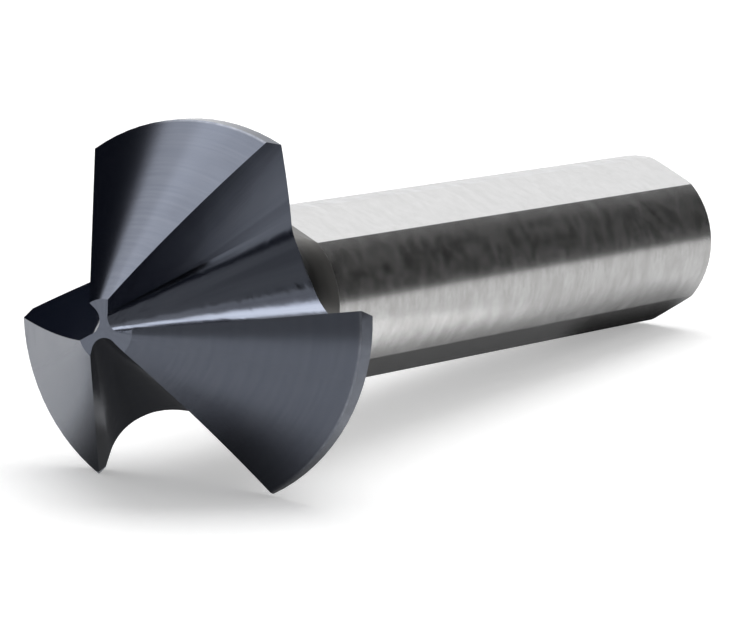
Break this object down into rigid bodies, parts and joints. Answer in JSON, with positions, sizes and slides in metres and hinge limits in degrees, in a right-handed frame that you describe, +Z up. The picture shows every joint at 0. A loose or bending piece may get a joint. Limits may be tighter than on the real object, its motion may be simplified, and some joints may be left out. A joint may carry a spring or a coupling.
{
  "type": "countersink",
  "caption": "Straight-fluted 90 degree countersink: a coated conical head with wide tapering flutes on a ground round shank with driving flats.",
  "frame": {"origin": "centre of the bounding box in plan, on the floor that the tool lies on", "axes": "+X towards the shank end and along the box's longest side, the tip towards -X, +Z up; the tool axis leans down towards the shank end by the angle at which it rests"},
  "size_m": [0.0632, 0.0204, 0.0193],
  "materials": {
    "steel": "ground, with a dark grey coating over the head"
  },
  "bodies": {
    "root": {"countersink": "steel"}
  },
  "joints": []
}
